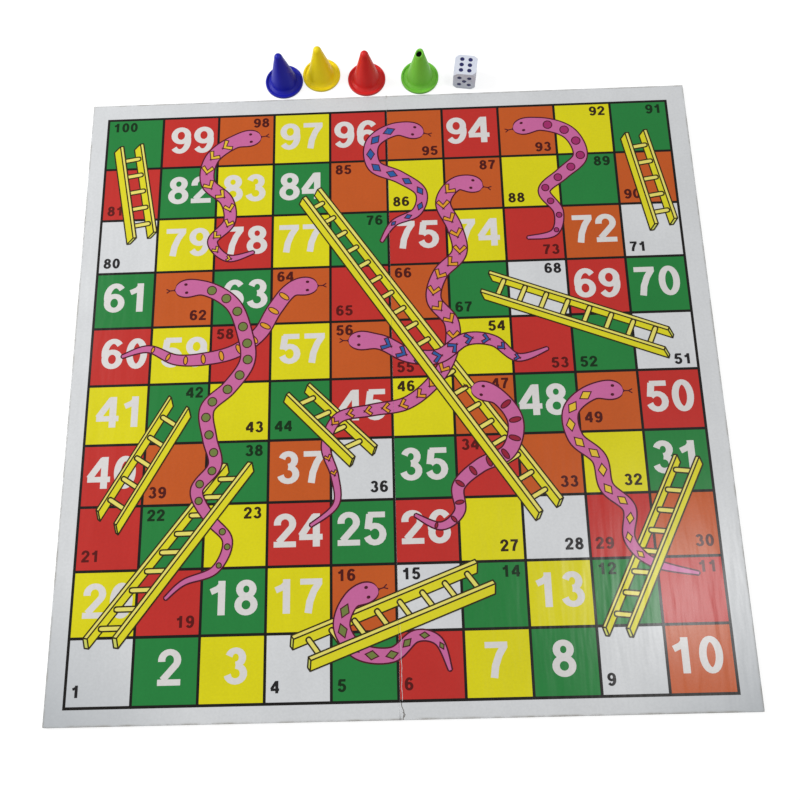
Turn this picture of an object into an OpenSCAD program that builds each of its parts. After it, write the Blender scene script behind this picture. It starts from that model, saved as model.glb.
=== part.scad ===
// A folding snakes and ladders board, with its four pawns and its die.
// The origin is the middle of the board's underside, at the fold.
// +X runs to the right across the fold, +Y to the back, +Z up. All lengths are in millimetres.

/* [Board] */
// Side of one square of the track, from line centre to line centre
square = 30; // [20:0.5:40]
// White border to the left of the track, from the frame line's centre to the board's edge
left_border = 9.2; // [5:0.1:20]
// White border to the right of the track, measured the same way
right_border = 10.3; // [5:0.1:20]
// White border in front of the track
front_border = 8; // [5:0.1:20]
// White border behind the track
back_border = 9.5; // [5:0.1:20]
// Thickness of the greyboard cores
core_t = 1.7; // [1:0.1:3]
// Thickness of the printed face paper and of the back lining
paper_t = 0.15; // [0.1:0.01:0.3]
// Width of the face paper that is turned in under the board
turn_in_w = 15; // [8:0.5:25]
// Width of turn-in that the lining leaves bare along the board's edge
lining_inset = 3; // [1:0.5:6]
// Width of the knife slit that parts the two cores at the fold
slit_w = 0.3; // [0.1:0.05:0.6]
// Width of the strip of face paper that creases at the fold
crease_w = 1; // [0.7:0.1:2]
// Width of the open mitre where two turn-ins meet at a corner
mitre_gap = 0.4; // [0.2:0.1:1]

/* [Print] */
// Thickness of one layer of printing ink
ink_t = 0.03; // [0.02:0.01:0.05]
// Width of the lines between the squares
line_w = 1.3; // [0.5:0.1:2]
// Width of the frame line round the track
frame_line_w = 1.3; // [0.5:0.1:3]
// Width of the crack in the ink along the fold
crack_w = 0.1; // [0.05:0.05:0.3]
// Width of a ladder's rail
rail_w = 5.8; // [3:0.1:7]
// Width of a ladder's rung
rung_w = 3; // [1:0.1:4]
// Width of a snake's body where it is thickest
snake_w = 7; // [4:0.25:9]
// Width of a snake's head
head_w = 9; // [6:0.25:12]
// Length of a snake's head
head_l = 12; // [8:0.5:16]

/* [Pawns] */
// Diameter of a pawn's base
pawn_d = 20.5; // [19:0.5:26]
// Height of a pawn
pawn_h = 23; // [18:0.5:34]
// Height of the raised rim round the base
rim_h = 1.4; // [1.3:0.1:3]
// Width of that rim
rim_w = 1.1; // [0.8:0.1:1.8]
// Thickness of the base inside the rim
base_t = 0.9; // [0.8:0.1:1.2]
// Diameter of the cone where it leaves the base
foot_d = 15; // [12:0.2:16]
// Diameter of the domed tip
tip_d = 4.2; // [3.6:0.1:6]
// Depth by which the cone's side curves in
waist = 0.1; // [0:0.1:0.8]
// Thickness of the moulded wall
wall = 0.9; // [0.6:0.1:1.2]
// Height by which the green pawn's tip falls short, where its mould didn't fill
tip_short = 1.6; // [1:0.1:3]
// Thickness of the wall round the mouth that this leaves
mouth_wall = 0.5; // [0.3:0.1:0.8]

/* [Die] */
// Edge of the die
die_w = 12; // [10:0.5:16]
// Length that the rounding takes off each corner of the die
die_corner_trim = 1.1; // [0.8:0.1:2]
// Diameter of a pip
pip_d = 2.4; // [1.2:0.1:2.6]
// Depth of a pip's recess
pip_depth = 0.45; // [0.3:0.05:0.8]
// Thickness of the paint in a pip
pip_paint_t = 0.25; // [0.1:0.05:0.3]
// Turn of the die on the table, in degrees
die_turn = -8.5; // [-45:0.5:45]
// Space between the green pawn and the die
die_gap = 8.3; // [2:0.1:20]
// Space between the board and the die
die_stand_off = 4; // [3:0.25:20]

/* [Hidden] */

LEFT = -1;
RIGHT = 1;
per_side = 10;
// Overrun that keeps a cut clear of the face it goes through
cut = 1;
$fn = 48;

track_w = per_side * square;
board_w = track_w + left_border + right_border;
board_l = track_w + front_border + back_border;
half_w = board_w / 2;
half_l = board_l / 2;
// Middle of the track, which the uneven borders leave a little off the middle of the board
track_x = (left_border - right_border) / 2;
track_y = (front_border - back_border) / 2;
core_z = paper_t;
core_top = core_z + core_t;
board_t = core_top + paper_t;
// Heights at which the three passes of ink lie
square_z = board_t;
snake_z = square_z + ink_t;
ladder_z = snake_z + ink_t;

ink_red = [0.76, 0.16, 0.15];
ink_green = [0.12, 0.49, 0.24];
ink_yellow = [0.88, 0.84, 0.08];
ink_orange = [0.78, 0.35, 0.14];
ink_black = [0.1, 0.08, 0.06];
ink_pink = [0.78, 0.41, 0.63];

// The ink of each square in playing order, a string for each row of the track from the front.
// R is red, G green, Y yellow and O orange, and W is bare white paper.
row_inks = ["WGYWGRYGWO", "RGYGWOYGRY", "RGYRGRYWRO", "GYORGWOGOR", "YGYGRYOGOR",
    "WGRYROYRYR", "GOGOROGWRG", "WORYRGYRYW", "RGYGOYOYGO", "GYORORYORG"];

// A ladder is its first rail's foot and head, the step across to its second rail, and its rungs.
// Places are in squares from the track's front left corner.
ladder_shares = [
    [[0.262, 0.928], [2.322, 3.576], [0.423, 0.003], 9],
    [[3.405, 0.868], [6.234, 1.931], [0.263, -0.316], 8],
    [[8.134, 0.917], [9.485, 3.523], [0.349, -0.032], 8],
    [[0.311, 2.869], [1.384, 4.711], [0.298, -0.204], 5],
    [[7.593, 2.875], [3.779, 8.434], [-0.299, -0.175], 19],
    [[4.705, 3.791], [3.615, 4.870], [-0.351, -0.162], 4],
    [[9.620, 5.631], [6.716, 6.740], [-0.126, -0.338], 8],
    [[9.887, 7.632], [9.537, 9.373], [-0.335, -0.070], 5],
    [[0.904, 7.705], [0.574, 9.447], [-0.353, -0.072], 5]];

// A snake is the route of its back from snout to tail, in squares from the same corner.
snake_route_shares = [
    [[4.72, 1.62], [4.32, 1.48], [4.16, 1.08], [4.42, 0.72], [4.92, 0.66], [5.28, 0.92],
        [5.62, 0.84], [5.78, 0.42]],
    [[6.30, 4.78], [6.72, 4.62], [6.98, 4.20], [6.84, 3.72], [6.38, 3.50], [6.02, 3.18],
        [6.02, 2.78], [5.72, 2.56], [5.32, 2.74]],
    [[8.74, 4.66], [8.26, 4.66], [7.88, 4.36], [7.92, 3.90], [8.26, 3.56], [8.34, 3.10],
        [8.66, 2.76], [8.62, 2.28], [8.94, 1.92], [9.62, 1.74]],
    [[4.30, 5.66], [4.82, 5.62], [5.28, 5.38], [5.78, 5.34], [6.24, 5.62], [6.70, 5.58],
        [7.08, 5.28], [7.58, 5.42]],
    [[1.36, 6.66], [1.86, 6.68], [2.34, 6.38], [2.56, 5.86], [2.62, 5.36], [2.34, 4.92],
        [1.98, 4.56], [2.04, 4.06], [2.14, 3.62], [1.86, 3.22], [2.08, 2.78], [2.38, 2.42],
        [2.20, 1.98], [1.72, 1.80], [1.44, 1.56]],
    [[3.78, 6.66], [3.36, 6.62], [3.06, 6.26], [2.82, 5.84], [2.42, 5.54], [1.92, 5.42],
        [1.42, 5.42], [0.96, 5.62], [0.52, 5.50]],
    [[6.66, 8.42], [6.22, 8.50], [5.96, 8.14], [6.14, 7.66], [6.20, 7.18], [5.86, 6.80],
        [5.74, 6.34], [6.02, 5.92], [5.98, 5.40], [5.70, 4.92], [5.24, 4.56], [4.68, 4.46],
        [4.12, 4.34], [3.92, 3.88], [4.06, 3.40], [4.08, 2.94], [3.68, 2.62]],
    [[7.26, 9.54], [7.76, 9.62], [8.24, 9.42], [8.40, 8.96], [8.06, 8.62], [7.72, 8.30],
        [7.94, 7.90], [7.84, 7.50], [7.38, 7.42]],
    [[5.66, 9.52], [5.18, 9.62], [4.76, 9.36], [4.78, 8.90], [5.22, 8.66], [5.58, 8.36],
        [5.50, 7.98], [5.10, 7.78], [4.88, 7.44]],
    [[2.76, 9.56], [2.30, 9.48], [1.90, 9.16], [1.84, 8.68], [2.18, 8.32], [2.24, 7.90],
        [1.96, 7.54], [2.24, 7.22], [2.68, 7.32]]];
// Steps that a snake's outline takes between two points of its route
snake_steps = 6;
// Shares of the head's length at which it is widest and at which the neck begins
head_widest_share = 0.55;
neck_share = 1.25;
// Width of the tail's tip as a share of the body's
tail_share = 0.16;

// Where each pawn stands: its centre from the fold and its space from the board, in base diameters.
blue_pawn_shares = [-2.72, 0.085];
yellow_pawn_shares = [-1.722, 0.25];
red_pawn_shares = [-0.515, 0.07];
green_pawn_shares = [0.9, 0.072];
// Steps in a pawn's cone and in its dome
cone_steps = 10;
dome_steps = 6;

// Distance from the middle of a face to an outer row of pips, as a share of the die's edge
pip_pitch_share = 0.22;
// Outer rows of the six's pips as shares of the usual pitch: across, and along.
six_shares = [0.84, 1.28];
// Half of a cube's diagonal as a share of its edge
corner_share = sqrt(3) / 2;

function column(n) = let (row = floor((n - 1) / per_side), k = (n - 1) % per_side)
    row % 2 == 0 ? k : per_side - 1 - k;
function row_of(n) = floor((n - 1) / per_side);
function ink_of(n) = row_inks[row_of(n)][(n - 1) % per_side];

// A place given in squares from the track's front left corner, in the board's frame
function on_track(share) = [track_x, track_y] + share * square - [track_w, track_w] / 2;

// Rounded course through the points p, as a Catmull-Rom spline
function spline(p, i, t) = let (
    last = len(p) - 1,
    a = p[max(i - 1, 0)], b = p[i], c = p[min(i + 1, last)], d = p[min(i + 2, last)])
    (2 * b + (c - a) * t + (2 * a - 5 * b + 4 * c - d) * t * t
        + (3 * b - a - 3 * c + d) * t * t * t) / 2;
function course(p, steps) = [
    for (i = [0 : len(p) - 2], k = [0 : steps - 1]) spline(p, i, k / steps),
    p[len(p) - 1]];
function course_length(c, i = 1) = i >= len(c) ? 0
    : norm(c[i] - c[i - 1]) + course_length(c, i + 1);
function side_of(c, i) = let (
    along = c[min(i + 1, len(c) - 1)] - c[max(i - 1, 0)],
    reach = norm(along))
    [-along.y, along.x] / reach;

// Half of a snake's width at distance s from the snout: an oval head, then a tapering body
function half_width(s, whole) = let (
    widest = head_l * head_widest_share,
    neck = head_l * neck_share,
    body = snake_w / 2 * (tail_share + (1 - tail_share) * (1 - pow(s / whole, 3))),
    front = head_w / 2 * sqrt(max(0, 1 - pow((s - widest) / widest, 2))),
    blend = (1 + cos(180 * min(1, max(0, (s - widest) / (neck - widest))))) / 2)
    s < widest ? front : body + (head_w / 2 - body) * blend;

function snake_outline(route) = let (
    c = course([for (q = route) on_track(q)], snake_steps),
    whole = course_length(c),
    last = len(c) - 1,
    half = [for (i = [0 : last]) half_width(whole * i / last, whole)])
    concat(
        [for (i = [0 : last]) c[i] + side_of(c, i) * half[i]],
        [for (i = [last : -1 : 1]) c[i] - side_of(c, i) * half[i]]);

// Keeps what lies on one half of the board, clear of the crack at the fold
module on_half(side) {
    intersection() {
        children();
        translate([side > 0 ? crack_w / 2 : -board_w, -board_w, 0])
            cube([board_w - crack_w / 2, 2 * board_w, 2 * board_t]);
    }
}

module mirrored(side) {
    mirror([side > 0 ? 0 : 1, 0, 0]) children();
}

// A block from the fold's slit outwards, short of the board's three edges by inset
module half_block(inset, z, t, from = slit_w / 2) {
    translate([from, inset - half_l, z]) cube([half_w - inset - from, 2 * (half_l - inset), t]);
}

// One greyboard panel, pressed in along three edges where the face paper is turned in
module board_core(side) {
    color("tan") mirrored(side) difference() {
        half_block(paper_t, core_z, core_t);
        difference() {
            half_block(-cut, core_z - cut, cut + paper_t, -cut);
            half_block(turn_in_w, core_z - 2 * cut, 3 * cut, -2 * cut);
        }
    }
}

// The printed paper of one half, wrapped over three edges and turned in below
module face_sheet(side) {
    color("white") mirrored(side) difference() {
        half_block(0, core_z, board_t - core_z);
        half_block(paper_t, core_z + paper_t, core_t - paper_t, -cut);
        half_block(turn_in_w, core_z - cut, 2 * cut, -cut);
        translate([0, -board_w, core_top]) cube([crease_w / 2, 2 * board_w, 2 * paper_t]);
        for (end = [-1, 1])
            translate([half_w, end * half_l, core_z]) rotate([0, 0, end * 45])
                translate([-turn_in_w * 2, -mitre_gap / 2, -cut])
                    cube([turn_in_w * 2 - paper_t * 2, mitre_gap, cut + paper_t]);
    }
}

// The strip of the same paper that bends at the fold
module fold_crease_strip() {
    color("white") translate([-crease_w / 2, -half_l, core_top]) cube([crease_w, board_l, paper_t]);
}

module back_lining(side) {
    color("dimgray") mirrored(side) half_block(lining_inset, 0, paper_t);
}

// The squares of one ink on one half, each short of the lines round it
module squares(side, letter, ink) {
    reach = square - line_w;
    color(ink) on_half(side) for (n = [1 : per_side * per_side])
        if (ink_of(n) == letter && (column(n) < per_side / 2) == (side < 0))
            translate(concat(on_track([column(n), row_of(n)]), square_z))
                translate([line_w / 2, line_w / 2, 0]) cube([reach, reach, ink_t]);
}

module track_lines(side) {
    reach = track_w + frame_line_w;
    color(ink_black) on_half(side) difference() {
        translate([track_x - reach / 2, track_y - reach / 2, square_z]) cube([reach, reach, ink_t]);
        for (i = [0 : per_side - 1], j = [0 : per_side - 1])
            translate(concat(on_track([i, j]), square_z - cut))
                translate([line_w / 2, line_w / 2, 0])
                    cube([square - line_w, square - line_w, 2 * cut]);
    }
}

module snakes(side) {
    color(ink_pink) on_half(side) for (route = snake_route_shares)
        translate([0, 0, snake_z]) linear_extrude(ink_t) polygon(snake_outline(route));
}

// A flat bar of ink from a to b
module bar(a, b, w) {
    translate(concat(a, ladder_z)) rotate([0, 0, atan2(b.y - a.y, b.x - a.x)])
        translate([0, -w / 2, 0]) cube([norm(b - a), w, ink_t]);
}

module ladder(foot, head, across, rungs) {
    bar(foot, head, rail_w);
    bar(foot + across, head + across, rail_w);
    for (k = [1 : rungs]) {
        place = foot + (head - foot) * (k - 0.5) / rungs;
        bar(place, place + across, rung_w);
    }
}

module ladders(side) {
    color(ink_yellow) on_half(side) for (l = ladder_shares)
        ladder(on_track(l[0]), on_track(l[1]), l[2] * square, l[3]);
}

// Radius of the cone at share t of its height, drawn in by the waist
function cone_r(t) = foot_d / 2 + (tip_d / 2 - foot_d / 2) * t - waist * sin(180 * t);

// Outline of a pawn's cone and dome, inset by the wall for the hollow inside
function cone_outline(inset) = let (tip_r = tip_d / 2, tall = pawn_h - base_t - tip_r) concat(
    [for (k = [0 : cone_steps - 1]) let (t = k / cone_steps)
        [cone_r(t) - inset, base_t + tall * t]],
    [for (k = [0 : dome_steps]) let (a = 90 * k / dome_steps)
        [(tip_r - inset) * cos(a), base_t + tall + (tip_r - inset) * sin(a)]]);

// Takes the top off the green pawn, and widens its hollow into an open mouth
module open_tip() {
    tip_r = tip_d / 2;
    mouth_z = pawn_h - tip_short;
    over_centre = tip_r - tip_short;
    mouth_r = sqrt(pow(tip_r, 2) - pow(over_centre, 2)) - mouth_wall;
    translate([0, 0, mouth_z]) cylinder(d = 2 * tip_d, h = tip_short + cut);
    translate([0, 0, mouth_z - tip_d]) cylinder(r1 = tip_r - wall, r2 = mouth_r, h = tip_d + cut / 100);
}

module pawn(places, hue, mouth = false) {
    base_r = pawn_d / 2;
    lip = rim_w / 4;
    translate([places.x * pawn_d, half_l + base_r + places.y * pawn_d, 0]) color(hue) difference() {
        rotate_extrude() polygon(concat(
            [[0, 0], [base_r - lip, 0], [base_r, lip], [base_r, rim_h - lip], [base_r - lip, rim_h],
                [base_r - rim_w, rim_h], [base_r - rim_w - lip, base_t]],
            cone_outline(0)));
        rotate_extrude() polygon(concat(
            [[0, -cut], [foot_d / 2 - wall, -cut]],
            cone_outline(wall)));
        if (mouth) open_tip();
    }
}

// Places of a face's pips in units of the pitch
function pips(count) =
    count == 6 ? [for (i = [-1, 1], j = [-1, 0, 1]) [i * six_shares[0], j * six_shares[1]]] :
    concat(
        count % 2 == 1 ? [[0, 0]] : [],
        count > 1 ? [[-1, -1], [1, 1]] : [],
        count > 3 ? [[-1, 1], [1, -1]] : []);

// Every face of the die with its count, turned so that the face points up
module each_pip() {
    faces = [[6, [0, 0, 0]], [1, [180, 0, 0]], [5, [90, 0, 0]], [2, [-90, 0, 0]],
        [3, [0, 90, 0]], [4, [0, -90, 0]]];
    for (face = faces) rotate(face[1])
        for (p = pips(face[0]) * pip_pitch_share * die_w) translate([p.x, p.y, die_w / 2]) children();
}

module on_die_place() {
    x = green_pawn_shares.x * pawn_d + pawn_d / 2 + die_gap + die_w / 2;
    translate([x, half_l + die_stand_off + die_w / 2, die_w / 2]) rotate([0, 0, die_turn]) children();
}

module die() {
    color("white") on_die_place() difference() {
        intersection() {
            cube(die_w, center = true);
            sphere(r = die_w * corner_share - die_corner_trim);
        }
        each_pip() translate([0, 0, -pip_depth]) cylinder(d = pip_d, h = pip_depth + cut);
    }
}

// Paint in the bottom of each recess, free of its wall by the drying gap
module die_pip_paint() {
    drying_gap = pip_d / 100;
    color("navy") on_die_place() each_pip()
        translate([0, 0, -pip_depth]) cylinder(d = pip_d - 2 * drying_gap, h = pip_paint_t);
}

board_core(LEFT);  // left_board_core
board_core(RIGHT);  // right_board_core
face_sheet(LEFT);  // left_face_sheet
face_sheet(RIGHT);  // right_face_sheet
fold_crease_strip();
back_lining(LEFT);  // left_back_lining
back_lining(RIGHT);  // right_back_lining
squares(LEFT, "R", ink_red);  // left_red_squares
squares(LEFT, "G", ink_green);  // left_green_squares
squares(LEFT, "Y", ink_yellow);  // left_yellow_squares
squares(LEFT, "O", ink_orange);  // left_orange_squares
squares(RIGHT, "R", ink_red);  // right_red_squares
squares(RIGHT, "G", ink_green);  // right_green_squares
squares(RIGHT, "Y", ink_yellow);  // right_yellow_squares
squares(RIGHT, "O", ink_orange);  // right_orange_squares
track_lines(LEFT);  // left_track_lines
track_lines(RIGHT);  // right_track_lines
snakes(LEFT);  // left_snakes
snakes(RIGHT);  // right_snakes
ladders(LEFT);  // left_ladders
ladders(RIGHT);  // right_ladders
pawn(blue_pawn_shares, "mediumblue");  // blue_pawn
pawn(yellow_pawn_shares, "gold");  // yellow_pawn
pawn(red_pawn_shares, "firebrick");  // red_pawn
pawn(green_pawn_shares, "forestgreen", true);  // green_pawn
die();
die_pip_paint();
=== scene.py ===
import math

import bmesh
import bpy
import numpy as np
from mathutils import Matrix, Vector, geometry


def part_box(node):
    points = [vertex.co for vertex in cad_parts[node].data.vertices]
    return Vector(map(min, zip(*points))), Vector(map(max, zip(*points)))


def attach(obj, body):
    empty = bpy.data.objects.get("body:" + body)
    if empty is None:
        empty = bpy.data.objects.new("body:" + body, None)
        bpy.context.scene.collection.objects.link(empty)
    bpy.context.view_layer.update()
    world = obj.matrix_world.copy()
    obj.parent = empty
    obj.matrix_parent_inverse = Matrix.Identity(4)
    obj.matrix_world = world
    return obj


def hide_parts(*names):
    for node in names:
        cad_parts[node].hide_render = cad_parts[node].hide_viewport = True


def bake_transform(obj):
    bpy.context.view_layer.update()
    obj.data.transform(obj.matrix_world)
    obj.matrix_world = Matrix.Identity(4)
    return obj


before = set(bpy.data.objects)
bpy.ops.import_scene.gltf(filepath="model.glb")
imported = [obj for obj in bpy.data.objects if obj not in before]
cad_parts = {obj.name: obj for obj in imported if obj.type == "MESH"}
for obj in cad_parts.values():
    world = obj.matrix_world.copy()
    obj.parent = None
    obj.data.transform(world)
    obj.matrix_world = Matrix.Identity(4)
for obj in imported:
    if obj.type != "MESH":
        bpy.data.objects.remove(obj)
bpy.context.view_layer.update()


# Camera. It looks down on the board from a little in front of its middle, tilted forward by
# about 15 degrees and rolled by about one, as the photograph does.
camera = bpy.data.objects.new("camera", bpy.data.cameras.new("camera"))
camera.data.sensor_width = 36
camera.data.lens = 37.04
camera.data.clip_start = 0.01
camera.location = (0.01065, -0.11725, 0.3894)
camera.rotation_euler = [math.radians(angle) for angle in (15.12, 1.46, -1.38)]
bpy.context.scene.collection.objects.link(camera)
bpy.context.scene.camera = camera


# Table and light. A pale table top, a hair below the board so that no two faces share a plane,
# an even pale room, a large soft lamp to the left, and a smaller one whose reflection lies
# softly on the front right corner of the glossy print.
def emitter(name, place, target, size, watts):
    """A square lamp of one side length at a place, turned to face a target."""
    lamp = bpy.data.objects.new(name, bpy.data.lights.new(name, "AREA"))
    lamp.data.size = size
    lamp.data.energy = watts
    lamp.location = place
    lamp.rotation_euler = (Vector(target) - Vector(place)).to_track_quat("-Z", "Y").to_euler()
    bpy.context.scene.collection.objects.link(lamp)
    return lamp


emitter("soft_lamp", (-0.80, 0.30, 0.62), (0, 0, 0), 0.45, 6.3)
emitter("glare_lamp", (0.50, -0.08, 1.20), (0.13, -0.11, 0), 0.16, 2.4)

ROOM_LIGHT = 0.48
world = bpy.data.worlds.new("room")
bpy.context.scene.world = world
world.use_nodes = True
world.node_tree.nodes["Background"].inputs["Color"].default_value = (1, 1, 1, 1)
world.node_tree.nodes["Background"].inputs["Strength"].default_value = ROOM_LIGHT
bpy.context.scene.view_settings.view_transform = "Standard"

TABLE_SIZE = 6.0
TABLE_DROP = 0.00002
TABLE_GREY = 0.42
TABLE_GLOW = 0.74
table_mesh = bpy.data.meshes.new("table_top")
table_corners = TABLE_SIZE / 2 * np.array([[-1, -1, 0], [1, -1, 0], [1, 1, 0], [-1, 1, 0]])
table_corners[:, 2] = -TABLE_DROP
table_mesh.from_pydata(table_corners.tolist(), [], [[0, 1, 2, 3]])
table_top = bpy.data.objects.new("table_top", table_mesh)
bpy.context.scene.collection.objects.link(table_top)
table_white = bpy.data.materials.new("table_white")
table_white.use_nodes = True
nodes, links = table_white.node_tree.nodes, table_white.node_tree.links
nodes.clear()
# The glow is for the camera and for reflections alone: it carries the lit table to white, and
# lights nothing.
rays = nodes.new("ShaderNodeLightPath")
seen = nodes.new("ShaderNodeMath")
seen.operation = "MAXIMUM"
links.new(rays.outputs["Is Camera Ray"], seen.inputs[0])
links.new(rays.outputs["Is Glossy Ray"], seen.inputs[1])
glow_strength = nodes.new("ShaderNodeMath")
glow_strength.operation = "MULTIPLY"
glow_strength.inputs[1].default_value = TABLE_GLOW
links.new(seen.outputs[0], glow_strength.inputs[0])
glow = nodes.new("ShaderNodeEmission")
links.new(glow_strength.outputs[0], glow.inputs["Strength"])
matt = nodes.new("ShaderNodeBsdfDiffuse")
matt.inputs["Color"].default_value = (TABLE_GREY, TABLE_GREY, TABLE_GREY, 1)
both = nodes.new("ShaderNodeAddShader")
links.new(glow.outputs[0], both.inputs[0])
links.new(matt.outputs[0], both.inputs[1])
links.new(both.outputs[0], nodes.new("ShaderNodeOutputMaterial").inputs["Surface"])
table_mesh.materials.append(table_white)


# Face paper. One sheet of coated white paper is glued over the two boards, wrapped over their
# three outer edges and turned in below. Handling has rounded and soiled its edges a little, and
# its two front corners are darkened with painted shade.
MM = 0.001
PAPER = 0.15 * MM
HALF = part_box("right_face_sheet")[1].x
HALF_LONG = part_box("right_face_sheet")[1].y
BOARD_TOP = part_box("right_face_sheet")[1].z
SHEET_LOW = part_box("right_face_sheet")[0].z
CREASE_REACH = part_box("fold_crease_strip")[1].x
SIDES = {"left": -1, "right": 1}
# Share of the light that the thin film reflects, against that of plain plastic at one half
FILM_GLOSS = 0.30
# Height of the film's ripples, which break up what it reflects, their number per metre along
# X, Y and Z, and the height of its fine grain
RIPPLE = 0.20 * MM
RIPPLES = (150, 26, 1)
FILM_GRAIN = 0.006 * MM
# Share by which a finish's two noises drift about their middle, and its roughness about its own
TONE_DRIFT = 0.3
ROUGH_DRIFT = 0.15
# Width of the soiled band along the board's edges, its patches per metre, how far into the noise
# a patch starts and is full, and its colour on a screen
SOIL_WIDE = 1.2 * MM
SOIL_PATCHES = 160
PATCH_EDGE = (0.35, 0.65)
SOIL_BROWN = (150, 146, 138)
# Reach of the painted shade that darkens the two front corners, measured along X and Y
# together, its greatest share, and the screen colour that it tends to
CORNER_SHADE_WIDE = 72 * MM
CORNER_SHADE_SHARE = 0.52
CORNER_SHADE_GREY = (150, 157, 163)


def linear(red, green, blue):
    """A colour as a screen shows it, from 0 to 255, in the linear values that shaders take."""
    screen = np.array([red, green, blue]) / 255
    return (*np.where(screen <= 0.04045, screen / 12.92, ((screen + 0.055) / 1.055) ** 2.4), 1)


def ranged(nodes, links, source, low, high, to_low=0.0, to_high=1.0):
    """A value carried from one range to another, and held at that range's ends."""
    node = nodes.new("ShaderNodeMapRange")
    for socket, number in (("From Min", low), ("From Max", high), ("To Min", to_low),
                           ("To Max", to_high)):
        node.inputs[socket].default_value = number
    links.new(source, node.inputs["Value"])
    return node.outputs["Result"]


def combined(nodes, links, operation, first, second=None):
    """One step of arithmetic on one or two values of a material."""
    node = nodes.new("ShaderNodeMath")
    node.operation = operation
    for socket, value in zip(node.inputs, (first, second)):
        if isinstance(value, (int, float)):
            socket.default_value = value
        elif value is not None:
            links.new(value, socket)
    return node.outputs[0]


def clouds(nodes, links, place, scale, detail, stretch=None):
    """Smooth noise of a scale in features per metre, drawn out along an axis by the stretch."""
    if stretch:
        drawn = nodes.new("ShaderNodeMapping")
        drawn.inputs["Scale"].default_value = stretch
        links.new(place, drawn.inputs["Vector"])
        place = drawn.outputs["Vector"]
    noise = nodes.new("ShaderNodeTexNoise")
    noise.inputs["Scale"].default_value = scale
    noise.inputs["Detail"].default_value = detail
    links.new(place, noise.inputs["Vector"])
    return noise.outputs["Fac"]


def clouded(name, dark, light, roughness, cloud=35, speck=900, grain=0.02 * MM, gloss=0.5,
            film=False, soil_and_shade=False):
    """A finish whose colour drifts between two tones in broad clouds and fine specks, both given
    in features per metre. Its bump is a fine grain, and a ripple drawn out along Y where a film
    covers the paper. Paper that is soiled and shaded has patches of soil along the board's outer
    edges, and a painted shade that darkens it evenly towards its two front corners."""
    material = bpy.data.materials.new(name)
    material.use_nodes = True
    nodes, links = material.node_tree.nodes, material.node_tree.links
    shader = nodes["Principled BSDF"]
    shader.inputs["Specular IOR Level"].default_value = gloss
    place = nodes.new("ShaderNodeTexCoord").outputs["Object"]
    broad = clouds(nodes, links, place, cloud, 3)
    fine = clouds(nodes, links, place, speck, 2)
    share = ranged(nodes, links, combined(nodes, links, "ADD", broad, fine), 1 - TONE_DRIFT,
                   1 + TONE_DRIFT)
    tone = nodes.new("ShaderNodeMix")
    tone.data_type = "RGBA"
    tone.inputs["A"].default_value = dark
    tone.inputs["B"].default_value = light
    links.new(share, tone.inputs["Factor"])
    colour = tone.outputs["Result"]
    if soil_and_shade:
        axes = nodes.new("ShaderNodeSeparateXYZ")
        links.new(place, axes.inputs[0])
        out_x, out_y = (combined(nodes, links, "ABSOLUTE", axes.outputs[axis]) for axis in "XY")
        edge = combined(nodes, links, "MAXIMUM",
                        ranged(nodes, links, out_x, HALF - SOIL_WIDE, HALF),
                        ranged(nodes, links, out_y, HALF_LONG - SOIL_WIDE, HALF_LONG))
        patches = ranged(nodes, links, clouds(nodes, links, place, SOIL_PATCHES, 4), *PATCH_EDGE)
        soil = combined(nodes, links, "MULTIPLY", edge, patches)
        # Painted shade: the paper is darkened evenly towards its two front corners.
        out_and_front = combined(nodes, links, "SUBTRACT", out_x, axes.outputs["Y"])
        corner_shade = ranged(nodes, links, out_and_front, HALF + HALF_LONG - CORNER_SHADE_WIDE,
                      HALF + HALF_LONG, 0, CORNER_SHADE_SHARE)
        for soil_and_shade_share, tint in ((corner_shade, CORNER_SHADE_GREY), (soil, SOIL_BROWN)):
            soil_and_shade_mix = nodes.new("ShaderNodeMix")
            soil_and_shade_mix.data_type = "RGBA"
            links.new(colour, soil_and_shade_mix.inputs["A"])
            soil_and_shade_mix.inputs["B"].default_value = linear(*tint)
            links.new(soil_and_shade_share, soil_and_shade_mix.inputs["Factor"])
            colour = soil_and_shade_mix.outputs["Result"]
    links.new(colour, shader.inputs["Base Color"])
    links.new(ranged(nodes, links, broad, 0, 1, roughness * (1 - ROUGH_DRIFT),
                     roughness * (1 + ROUGH_DRIFT)), shader.inputs["Roughness"])
    skin = nodes.new("ShaderNodeBump")
    skin.inputs["Strength"].default_value = 1
    skin.inputs["Distance"].default_value = grain
    links.new(fine, skin.inputs["Height"])
    if film:
        waves = nodes.new("ShaderNodeBump")
        waves.inputs["Strength"].default_value = 1
        waves.inputs["Distance"].default_value = RIPPLE
        links.new(clouds(nodes, links, place, 1, 2, RIPPLES), waves.inputs["Height"])
        links.new(skin.outputs["Normal"], waves.inputs["Normal"])
        skin = waves
    links.new(skin.outputs["Normal"], shader.inputs["Normal"])
    return material


# Points nearer to each other than this are one
SAME_PLACE = 1e-7


def closed_mesh(name, points, faces, finish, smooth=False):
    """A piece from its points and faces, with doubled points merged and loose ones removed."""
    mesh = bpy.data.meshes.new(name)
    mesh.from_pydata(np.asarray(points).tolist(), [], faces)
    work = bmesh.new()
    work.from_mesh(mesh)
    bmesh.ops.remove_doubles(work, verts=work.verts, dist=SAME_PLACE)
    loose = [v for v in work.verts if not v.link_faces]
    bmesh.ops.delete(work, geom=loose, context="VERTS")
    bmesh.ops.recalc_face_normals(work, faces=work.faces)
    work.to_mesh(mesh)
    work.free()
    mesh.materials.append(finish)
    if smooth:
        mesh.shade_smooth()
    else:
        mesh.shade_flat()
    piece = bpy.data.objects.new(name, mesh)
    bpy.context.scene.collection.objects.link(piece)
    return piece


# Rounding of the sheet over the upper edge, under the lower one and round the board's corners,
# and the width that is turned in below
EDGE_ROUND = 0.45 * MM
FOLD_ROUND = 0.30 * MM
CORNER_ROUND = 0.9 * MM
TURN_IN = 15 * MM
CORNER_STEPS = 12


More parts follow.
